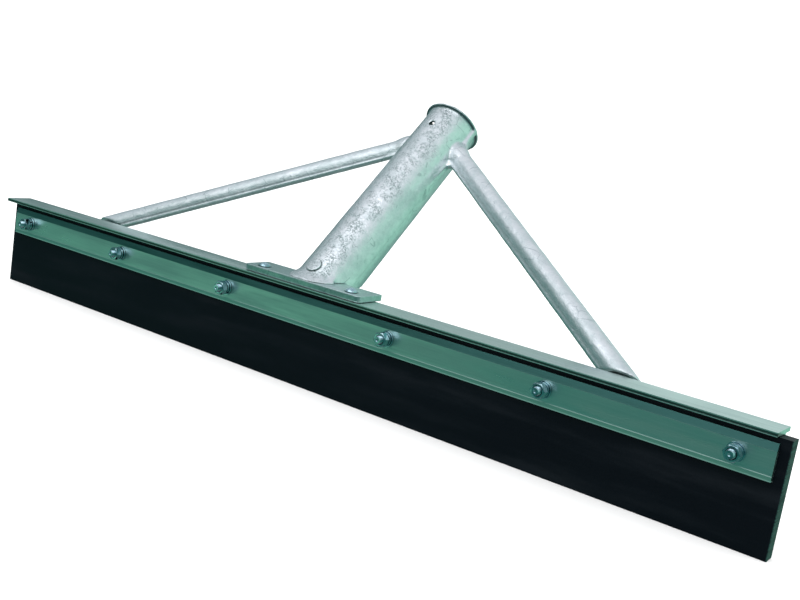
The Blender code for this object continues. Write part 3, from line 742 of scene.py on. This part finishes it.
def brace_bar(half_width, half_height, past=0.0):
    """An oval bar down the right brace, from inside the socket to beyond the brace's end."""
    start = BRACE_JOIN - brace_run * BRACE_JOIN.x / 2 + brace_up * CROWN_SHIFT
    end = BRACE_FOOT + brace_run * (CROWN_WIDTH + past) + brace_up * CROWN_SHIFT
    bar = rod(1, -0.5, 0.5, 72)
    size = Matrix.Diagonal((half_width, half_height, (end - start).length, 1))
    axes = (brace_up.x, 0, brace_run.x), (brace_up.y, 0, brace_run.y), (0, 1, 0)
    return settle(bar, Matrix.Translation((start + end) / 2) @ Matrix(axes).to_4x4() @ size)


def seam_edge():
    """The flat edge round the frame's right half, as one plate that both pressings share."""
    up = brace_up * BRACE_WIDTH / 2
    lip = MOUTH_RADIUS + LIP_WIDTH
    tip = BRACE_FOOT + brace_run * 2 * CROWN_WIDTH
    shoulder = BRACE_JOIN + up + brace_run * ((lip - BRACE_JOIN.x - up.x) / brace_run.x)
    inner = lip - LIP_WIDTH / 2
    crotch = BRACE_JOIN - up + brace_run * ((inner - BRACE_JOIN.x + up.x) / brace_run.x)
    corners = [
        Vector((0, SOCKET_LENGTH, 0)),
        Vector((lip, SOCKET_LENGTH, 0)),
        shoulder,
        tip + up,
        tip - up,
        crotch,
        Vector((MOUTH_RADIUS - SHEET / 2, LIP_FADE, 0)),
        Vector((0, LIP_FADE, 0)),
    ]
    bpy.ops.mesh.primitive_circle_add(vertices=len(corners), radius=0.1, fill_type="NGON")
    plate = bpy.context.object
    for vertex, corner in zip(plate.data.vertices, corners):
        vertex.co = corner
    for point, radius in ((shoulder, SHOULDER_ROUND), (crotch, CROTCH_ROUND)):
        pick(plate, lambda v: (v - point).length < LIP_THICK)
        bpy.ops.mesh.bevel(offset=radius, segments=8, affect="VERTICES", offset_type="OFFSET")
        bpy.ops.object.mode_set(mode="OBJECT")
    return modify(plate, "SOLIDIFY", thickness=2 * SHEET, offset=0)


def another(piece):
    """A copy of the piece with a mesh of its own."""
    twin = piece.copy()
    twin.data = piece.data.copy()
    bpy.context.scene.collection.objects.link(twin)
    return twin


def face_outwards(piece):
    """Turns every face of a closed piece outwards."""
    alone(piece)
    bpy.ops.object.mode_set(mode="EDIT")
    bpy.ops.mesh.select_all(action="SELECT")
    bpy.ops.mesh.normals_make_consistent(inside=False)
    bpy.ops.object.mode_set(mode="OBJECT")
    return piece


def mirrored(piece):
    """The same piece on the left side."""
    return face_outwards(settle(another(piece), Matrix.Diagonal((-1, 1, 1, 1))))


crown = brace_bar(CROWN_WIDTH / 2, CROWN_HEIGHT)
edge = seam_edge()
bpy.ops.mesh.primitive_uv_sphere_add(
    segments=48,
    ring_count=24,
    location=BRACE_JOIN + ROOT_SHIFT,
    scale=ROOT_SIZE,
    rotation=(0, 0, (BRACE_JOIN - BRACE_FOOT).xy.angle_signed(Vector((1, 0)))),
)
root = settle(bpy.context.object)
halves = [crown, edge, root]
body = merge([lipped_socket()] + halves + [mirrored(half) for half in halves], "frame_body")
front_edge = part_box("foot_plate")[0].y
side_cut = FOOT_RADIUS * math.cos(SKIRT_HALF_ANGLE)
for wide, thick in SKIRT_STEPS:
    skirt = tapered(-UNDER + SHEET, FOOT_RADIUS, wide)
    carve(skirt, world_box((-FAR, -FAR, plate_top + thick), (FAR, FAR, FAR)))
    carve(skirt, world_box((-FAR, -FAR, -FAR), (FAR, front_edge + FACE_GAP, FAR)))
    carve(skirt, box((-FAR, -FAR, -FAR), (FAR, FAR, side_cut)))
    carve(body, skirt, "UNION")
modify(body, "REMESH", mode="VOXEL", voxel_size=GRAIN)
modify(body, "SMOOTH", factor=0.5, iterations=10)
runs = bpy.data.textures.new("zinc_runs", "CLOUDS")
runs.noise_scale = RUN_SIZE
modify(body, "DISPLACE", texture=runs, texture_coords="LOCAL", strength=RUN_HEIGHT, mid_level=0.5)
carve(body, tapered(-2 * UNDER, SOCKET_LENGTH + LIP_WIDTH, -SHEET, TUBE_SIDES))
hollow = brace_bar(CROWN_WIDTH / 2 - SHEET, CROWN_HEIGHT - SHEET, past=0.01)
carve(body, mirrored(hollow))
carve(body, hollow)
inboard = 3 * FOOT_RADIUS
for low, high in ((inboard, FAR), (-FAR, -inboard)):
    carve(body, box((low, -FAR, -FAR), (high, BRACE_END, FAR)))
low, high = SOCKET_FOOT.x - inboard, SOCKET_FOOT.x + inboard
carve(body, world_box((low, -FAR, -FAR), (high, PLATE_BACK + FACE_GAP, plate_top)))
carve(body, world_box((low, -FAR, -FAR), (high, FAR, plate_top - PLATE_THICK)))
screw_height = SOCKET_LENGTH - SCREW_DOWN
for radius, height in ((SCREW_HOLE, screw_height), (RIVET_HOLE, RIVET_HEIGHT)):
    drill = rod(radius, FOOT_RADIUS / 2, RIVET_DRILL)
    carve(body, settle(drill, Matrix.Translation((0, height, 0))))
modify(body, "REMESH", mode="VOXEL", voxel_size=GRAIN)
modify(body, "SMOOTH", factor=0.5, iterations=3)
front = body
back = another(body)
carve(front, box((-FAR, -FAR, -FAR), (FAR, FAR, SEAM_GAP / 2)))
carve(back, box((-FAR, -FAR, -SEAM_GAP / 2), (FAR, FAR, FAR)))

frame_zinc, tree, shader, skin = galvanised(
    "frame_zinc", (0.90, 0.92, 0.95, 1), (0.72, 0.78, 0.80, 1), 0.2, 0.00014
)
turned = {"Vector": object_place(tree), "Location": SOCKET_FOOT, "Rotation": (SOCKET_LEAN, 0, 0)}
flat = add_node(tree, "Mapping", turned, vector_type="TEXTURE").outputs[0]
across, along, out_front = add_node(tree, "SeparateXYZ", {0: flat}).outputs
stray = times(less(noise(flat, 60), 0.5), 0.02)
off_centre = maths("ABSOLUTE", plus(plus(across, 0.002), stray))
front_band = plus(times(between(off_centre, 0.0180, 0.010), 0.75), 0.2)
tree.links.new(front_band, skin.inputs["Crust"])

from_axis = distance_from(flat, (0, 0, 0), (1, 0, 1))
inside = between(from_axis, MOUTH_RADIUS - SHEET / 3, MOUTH_RADIUS - 2 * SHEET / 3)
# Painted shade on the socket's inner wall, which is also made rougher.
repaint(shader, inside, (0.05, 0.07, 0.08, 1))
roughen(shader, times(inside, 0.3))
# Painted shade under the turned lip round the mouth.
shaded_under_lip = times(
    between(from_axis, MOUTH_RADIUS + LIP_FILLET / 3, MOUTH_RADIUS + LIP_FILLET / 2),
    between(from_axis, MOUTH_RADIUS + LIP_WIDTH * 0.8, MOUTH_RADIUS + LIP_WIDTH * 0.55),
)
near_mouth = between(along, SOCKET_LENGTH - 2 * LIP_THICK, SOCKET_LENGTH - LIP_THICK)
repaint(shader, times(times(shaded_under_lip, near_mouth), 0.85), (0.06, 0.09, 0.11, 1))

from_rivet = distance_from(flat, (0, RIVET_HEIGHT, 0), (1, 1, 0))
ring = times(between(from_rivet, HEAD_RING, HEAD_RIM), 0.7)
ring = times(ring, between(out_front, 0, FOOT_RADIUS / 2))
from_screw = distance_from(flat, (0, screw_height, 0), (1, 1, 0))
drilled = between(from_screw, SCREW_HOLE + FACE_GAP, SCREW_HOLE)
# Painted shade round the flat rivet's head, laid on together with the dark, bare and dirty wall of the
# screw hole.
repaint(shader, maths("MAXIMUM", ring, drilled), (0.05, 0.07, 0.08, 1))

right_side = {0: maths("ABSOLUTE", across), 1: along}
right_side = add_node(tree, "CombineXYZ", right_side).outputs[0]
above = {0: right_side, 1: brace_up}
above = add_node(tree, "VectorMath", above, operation="DOT_PRODUCT").outputs["Value"]
off_line = maths("ABSOLUTE", less(above, BRACE_JOIN.dot(brace_up) - BRACE_SHADE_LINE))
beyond = maths("MAXIMUM", between(across, -0.026, -0.034), between(across, 0.026, 0.034, 0, 0.25))
brace_shade = times(between(off_line, BRACE_SHADE_WIDTH, BRACE_SHADE_WIDTH / 3), beyond)
# Painted shade along the angle between each brace's crown and its lower edge.
repaint(shader, times(brace_shade, 0.7), (0.10, 0.15, 0.16, 1))

for shell, node in ((front, "frame_front"), (back, "frame_back")):
    settle(shell, IN_PLACE)
    shade(shell, math.radians(50))
    hand_over(shell, node + "_skin", frame_zinc, node)

# ---- Brace tabs -----------------------------------------------------------------------------------
# Bent steel straps: one end is welded up inside each brace, the other is riveted to the rail's web.
TAB_EDGE = 0.0004

tab_zinc, _, _, _ = galvanised("tab_zinc", (0.72, 0.78, 0.79, 1), (0.50, 0.57, 0.58, 1), 0.3, 0.0001)
for side in ("left", "right"):
    tab = another(nodes[f"brace_tab_{side}"])
    alone(tab)
    bpy.ops.object.mode_set(mode="EDIT")
    bpy.ops.mesh.select_all(action="SELECT")
    bpy.ops.mesh.remove_doubles(threshold=0.00001)
    bpy.ops.mesh.dissolve_limited(angle_limit=math.radians(1))
    bpy.ops.object.mode_set(mode="OBJECT")
    ease(tab, TAB_EDGE)
    hand_over(tab, f"bent_tab_{side}", tab_zinc, f"brace_tab_{side}")

# ---- Clamp bolts ----------------------------------------------------------------------------------
# Six M5 hexagon bolts fed in from the back. Each has a plain washer under its head and, at the front,
# a plain washer, a split spring washer and a nut. All are bright zinc plated.
BOLT_RADIUS = 0.0025
THREAD_ROOT = 0.0021
THREAD_PITCH = 0.0008
THREAD_CREST = (0.4, 0.55)  # where in one pitch the flat crest starts and ends
SPARE_TURNS = 4  # turns that the end cuts take off again
BOLT_LENGTH = 0.025
BOLT_POINT = 0.0005
BOLT_DIMPLE = 0.0011
HEX_FLATS = 0.008
HEX_FACE = HEX_FLATS / 2 * 0.95  # the round flat left at each end
HEX_SLOPE = math.tan(math.radians(30))
HEAD_HEIGHT = 0.0035
NUT_HEIGHT = 0.004
NUT_SINK = 0.0008
WASHER_RADIUS = 0.005
WASHER_THICK = 0.001
WASHER_HOLE = BOLT_HOLE - FACE_GAP / 3
SPRING_RADIUS = 0.0044
SPRING_THICK = 0.0012
SPRING_TURN = math.radians(345)
PLATED_EDGE = 0.00012
THREAD_CREASE = math.radians(30)

bright_zinc, tree, shader = new_material("bright_zinc", 0.2, 1)
place = object_place(tree)
haze = between(noise(place, 260), 0.36, 0.66)
marks = between(noise(place, 1500, 3, 0.7), 0.52, 0.68)
plated = blend(haze, (0.52, 0.70, 0.76, 1), (0.28, 0.44, 0.50, 1))
marked = blend(times(marks, 0.5), plated, (0.10, 0.20, 0.26, 1))
tree.links.new(marked, shader.inputs["Base Color"])
tree.links.new(between(plus(haze, marks), 0, 1.6, 0.10, 0.26), shader.inputs["Roughness"])
bump(shader, noise(place, 900), 0.00003)


def hexagon(height):
    """A hexagon standing on Z = 0, its corners turned off at both ends."""
    bpy.ops.mesh.primitive_cylinder_add(vertices=6, radius=HEX_FLATS / math.sqrt(3), depth=height)
    half_up = Matrix.Translation((0, 0, height / 2))
    made = settle(bpy.context.object, half_up @ Matrix.Rotation(math.pi / 6, 4, "Z"))
    for flip in (0, math.pi):
        keeper = rod(HEX_FACE + HEX_FLATS / HEX_SLOPE, -HEX_FLATS, 0, 64, HEX_FACE)
        settle(keeper, half_up @ Matrix.Rotation(flip, 4, "X") @ half_up)
        carve(made, keeper, "INTERSECT")
    return made


def outline(name, points, closed):
    """A bare line through these points, for a Screw modifier to sweep."""
    ends = range(len(points) if closed else len(points) - 1)
    mesh = bpy.data.meshes.new(name)
    mesh.from_pydata(points, [(end, (end + 1) % len(points)) for end in ends], [])
    made = bpy.data.objects.new(name, mesh)
    bpy.context.scene.collection.objects.link(made)
    return made


def threaded(start, end):
    """A rolled thread along Z between two heights."""
    first, last = THREAD_CREST
    flank = ((THREAD_ROOT, 0), (BOLT_RADIUS, first), (BOLT_RADIUS, last), (THREAD_ROOT, 1))
    points = [(radius, 0, start + (share - 2) * THREAD_PITCH) for radius, share in flank]
    made = modify(
        outline("thread", points, closed=False),
        "SCREW",
        axis="Z",
        screw_offset=THREAD_PITCH,
        iterations=math.ceil((end - start) / THREAD_PITCH) + SPARE_TURNS,
        steps=20,
        render_steps=20,
        use_merge_vertices=True,
        merge_threshold=0.00002,
        use_normal_calculate=True,
    )
    for level, up in ((start, -1), (end, 1)):
        bpy.ops.object.mode_set(mode="EDIT")
        bpy.ops.mesh.select_all(action="SELECT")
        bpy.ops.mesh.remove_doubles(threshold=0.00001)
        cut = {"plane_co": (0, 0, level), "plane_no": (0, 0, up), "threshold": 1e-7}
        bpy.ops.mesh.bisect(use_fill=True, clear_outer=True, **cut)
        bpy.ops.object.mode_set(mode="OBJECT")
    return face_outwards(made)


def washer(radius, thick):
    """A stamped ring standing on Z = 0."""
    ring = rod(radius, 0, thick, 48)
    carve(ring, rod(WASHER_HOLE, -thick, 2 * thick, 48))
    return ease(ring, PLATED_EDGE, 2, 50)


def spring_washer():
    """A split ring of square wire, whose ends are twisted apart."""
    corners = [
        (WASHER_HOLE, 0, 0),
        (SPRING_RADIUS, 0, 0),
        (SPRING_RADIUS, 0, SPRING_THICK),
        (WASHER_HOLE, 0, SPRING_THICK),
    ]
    made = modify(
        outline("spring", corners, closed=True),
        "SCREW",
        axis="Z",
        angle=SPRING_TURN,
        screw_offset=FACE_GAP * 2 / 3,
        steps=44,
        render_steps=44,
    )
    bpy.ops.object.mode_set(mode="EDIT")
    bpy.ops.mesh.select_mode(type="EDGE")
    bpy.ops.mesh.select_all(action="DESELECT")
    bpy.ops.mesh.select_non_manifold()
    bpy.ops.mesh.fill_holes(sides=4)
    bpy.ops.object.mode_set(mode="OBJECT")
    return ease(face_outwards(made), PLATED_EDGE, 2, 50)


bolt = ease(hexagon(HEAD_HEIGHT), PLATED_EDGE, 2, 20)
settle(bolt, Matrix.Translation((0, 0, -HEAD_HEIGHT)))
shank = threaded(-HEAD_HEIGHT / 2, BOLT_LENGTH)
wide, narrow = BOLT_RADIUS + BOLT_POINT, BOLT_RADIUS - BOLT_POINT
point_start = BOLT_LENGTH - 3 * BOLT_POINT
point = rod(wide, -HEAD_HEIGHT, point_start, 48)
carve(point, rod(wide, point_start - FACE_GAP, BOLT_LENGTH, 48, narrow), "UNION")
carve(shank, point, "INTERSECT")
bpy.ops.mesh.primitive_uv_sphere_add(
    segments=24, ring_count=12, radius=BOLT_DIMPLE, location=(0, 0, BOLT_LENGTH + BOLT_POINT)
)
carve(shank, settle(bpy.context.object))
carve(bolt, shank, "UNION")
shade(bolt, THREAD_CREASE)
nut = ease(hexagon(NUT_HEIGHT), PLATED_EDGE, 2, 20)
carve(nut, rod(BOLT_HOLE - FACE_GAP / 2, -NUT_HEIGHT, 2 * NUT_HEIGHT, 32))
narrow = BOLT_RADIUS * 0.9
for end in (Matrix.Translation((0, 0, NUT_HEIGHT)), Matrix.Rotation(math.pi, 4, "X")):
    carve(nut, settle(rod(narrow, -NUT_SINK, NUT_SINK, 32, narrow + 2 * NUT_SINK), end))
shade(nut, THREAD_CREASE)
patterns = {
    "clamp_bolt": (bolt, "hex_bolt"),
    "clamp_nut": (nut, "hex_nut"),
    "flat_washer": (washer(WASHER_RADIUS, WASHER_THICK), "front_washer"),
    "spring_washer": (spring_washer(), "split_washer"),
    "rear_washer": (washer(WASHER_RADIUS, WASHER_THICK), "back_washer"),
}
head_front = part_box("rear_washer_1")[1].y + FACE_GAP
for number, x in enumerate(BOLT_PLACES, start=1):
    for kind, (pattern, name) in patterns.items():
        node = f"{kind}_{number}"
        piece = another(pattern)
        y = head_front if kind == "clamp_bolt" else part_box(node)[1].y
        turn = 37 * number * number  # washers sit at any turn, hexagons a few degrees off
        if kind in ("clamp_bolt", "clamp_nut"):
            turn = 4 * ((number * 5) % 7 - 3)
        turned = Matrix.Rotation(math.radians(turn), 4, "Z")
        settle(piece, facing_front(x, y, BOLT_LEVEL) @ turned)
        hand_over(piece, f"{name}_{number}", bright_zinc, node)
for pattern, _ in patterns.values():
    bpy.data.objects.remove(pattern, do_unlink=True)

# ---- Rivets ---------------------------------------------------------------------------------------
# Domed steel rivets hold the foot plate to the rail and the tabs to its web; a flat one, hammered
# down to the curve, holds the socket to the spigot.
DOME_RADIUS = 0.004
DOME_HEIGHT = 0.0024
DOME_EDGE = 0.0003
RIVET_RADIUS = 0.002
RIVET_MOUTH = 0.0031
SINK_DEPTH = 0.0011
FLAT_RIVET_RADIUS = 0.0049
FLAT_RIVET_PROUD = 0.0009
FLAT_RIVET_STEM = 0.0025
FLAT_RIVET_TAIL = 0.001
FLAT_RIVET_GRAIN = 0.00022
DENT_SIZE = 0.0025
DENT_DEPTH = 0.0003


def domed_rivet(grip):
    """A rivet with its dome on Z = 0 and its countersunk end this far below."""
    ball = (DOME_RADIUS**2 + DOME_HEIGHT**2) / (2 * DOME_HEIGHT)
    bpy.ops.mesh.primitive_uv_sphere_add(
        segments=48, ring_count=48, radius=ball, location=(0, 0, DOME_HEIGHT - ball)
    )
    made = settle(bpy.context.object)
    bpy.ops.object.mode_set(mode="EDIT")
    bpy.ops.mesh.select_all(action="SELECT")
    bpy.ops.mesh.bisect(plane_co=(0, 0, 0), plane_no=(0, 0, -1), use_fill=True, clear_outer=True)
    bpy.ops.object.mode_set(mode="OBJECT")
    ease(made, DOME_EDGE, 3, 40)
    carve(made, rod(RIVET_RADIUS, -grip, DOME_HEIGHT / 4), "UNION")
    carve(made, rod(RIVET_MOUTH, -grip, SINK_DEPTH - grip, 32, RIVET_RADIUS - FACE_GAP), "UNION")
    shade(made, THREAD_CREASE)
    return made


for side in ("left", "right"):
    a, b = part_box(f"foot_rivet_{side}")
    middle = (a + b) / 2
    piece = domed_rivet(b.z - DOME_HEIGHT - a.z)
    settle(piece, Matrix.Translation((middle.x, middle.y, b.z - DOME_HEIGHT)))
    hand_over(piece, f"plate_rivet_{side}", bright_zinc, f"foot_rivet_{side}")
    a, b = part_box(f"tab_rivet_{side}")
    middle = (a + b) / 2
    piece = domed_rivet(b.y - DOME_HEIGHT - a.y)
    head = Matrix.Translation((middle.x, b.y - DOME_HEIGHT, middle.z))
    settle(piece, head @ Matrix.Rotation(-math.pi / 2, 4, "X"))
    hand_over(piece, f"web_rivet_{side}", bright_zinc, f"tab_rivet_{side}")

rivet_zinc, _, _, _ = galvanised(
    "rivet_zinc", (0.86, 0.88, 0.91, 1), (0.66, 0.72, 0.74, 1), 0.9, 0.00012
)
flat_rivet = rod(FLAT_RIVET_RADIUS, FOOT_RADIUS / 2, FOOT_RADIUS * 2, 64)
settle(flat_rivet, Matrix.Translation((0, RIVET_HEIGHT, 0)))
carve(flat_rivet, tapered(-UNDER, SOCKET_LENGTH, FLAT_RIVET_PROUD, TUBE_SIDES), "INTERSECT")
carve(flat_rivet, tapered(-UNDER, SOCKET_LENGTH, FACE_GAP / 3, TUBE_SIDES))
stem_end = FOOT_RADIUS - 2 * SHEET - 3 * FACE_GAP - FLAT_RIVET_TAIL
stem = rod(FLAT_RIVET_STEM, stem_end, FOOT_RADIUS + FACE_GAP, 32)
carve(flat_rivet, settle(stem, Matrix.Translation((0, RIVET_HEIGHT, 0))), "UNION")
modify(flat_rivet, "REMESH", mode="VOXEL", voxel_size=FLAT_RIVET_GRAIN)
modify(flat_rivet, "SMOOTH", factor=0.5, iterations=8)
dents = bpy.data.textures.new("hammer_dents", "CLOUDS")
dents.noise_scale = DENT_SIZE
modify(
    flat_rivet,
    "DISPLACE",
    texture=dents,
    texture_coords="LOCAL",
    strength=DENT_DEPTH,
    mid_level=0.5,
)
settle(flat_rivet, IN_PLACE)
bpy.ops.object.shade_smooth()
hand_over(flat_rivet, "flat_socket_rivet", rivet_zinc, "socket_rivet")
